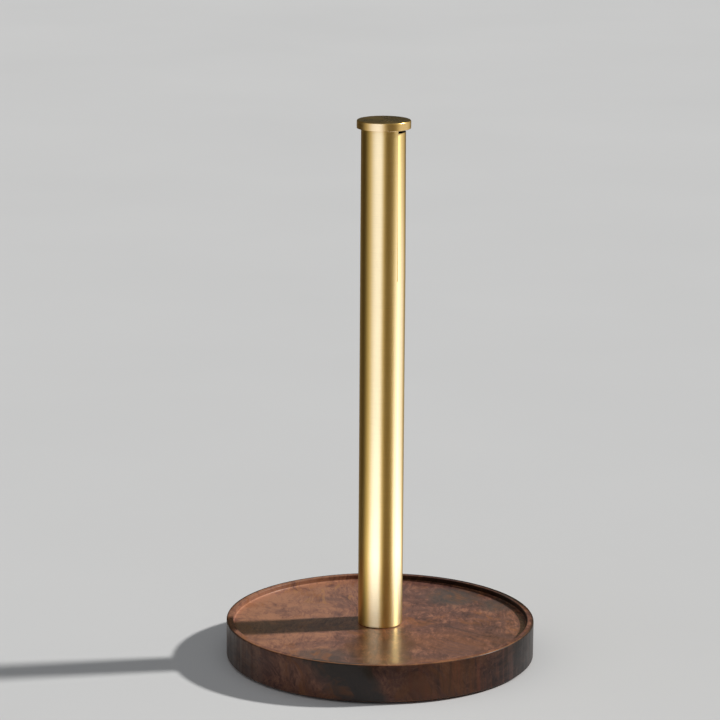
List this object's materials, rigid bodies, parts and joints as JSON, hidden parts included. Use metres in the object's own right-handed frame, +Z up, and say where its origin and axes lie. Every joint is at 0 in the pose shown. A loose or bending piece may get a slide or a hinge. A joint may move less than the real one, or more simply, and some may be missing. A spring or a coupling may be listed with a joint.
{
  "type": "paper towel holder",
  "caption": "Upright paper towel holder: turned walnut tray base, brushed brass post with a flanged cap and a spring tongue in its side.",
  "frame": {"origin": "centre of the underside of the anti-slip pad, on the surface that the holder stands on", "axes": "+Z up along the post, +X towards the spring tongue, so that -Y is the front"},
  "size_m": [0.1736, 0.1736, 0.3061],
  "materials": {
    "walnut": "figured walnut, satin lacquer",
    "pad_rubber": "fine matte",
    "weight_steel": "dark satin coating",
    "zinc_steel": "bright zinc plated",
    "spring_steel": "dark oiled spring steel",
    "brushed_brass": "fine brushed, clear lacquered",
    "turned_brass": "as turned, uncoated"
  },
  "bodies": {
    "holder": {"wood_base": "walnut", "anti_slip_pad": "pad_rubber", "weight_plate": "weight_steel", "weight_screws": "zinc_steel", "post_tube": "brushed_brass", "top_cap": "brushed_brass", "foot_plug": "turned_brass", "post_bolt": "zinc_steel", "flat_washer": "zinc_steel", "spring_washer": "spring_steel"},
    "tongue": {"tension_tongue": "brushed_brass"}
  },
  "joints": [
    {"name": "tongue_flex", "type": "hinge", "parent": "holder", "child": "tongue", "pos_m": [0.0105, 0, 0.2232], "axis": [0, -1, 0], "range_deg": [0, 1], "stiffness_Nm_per_rad": 40}
  ]
}
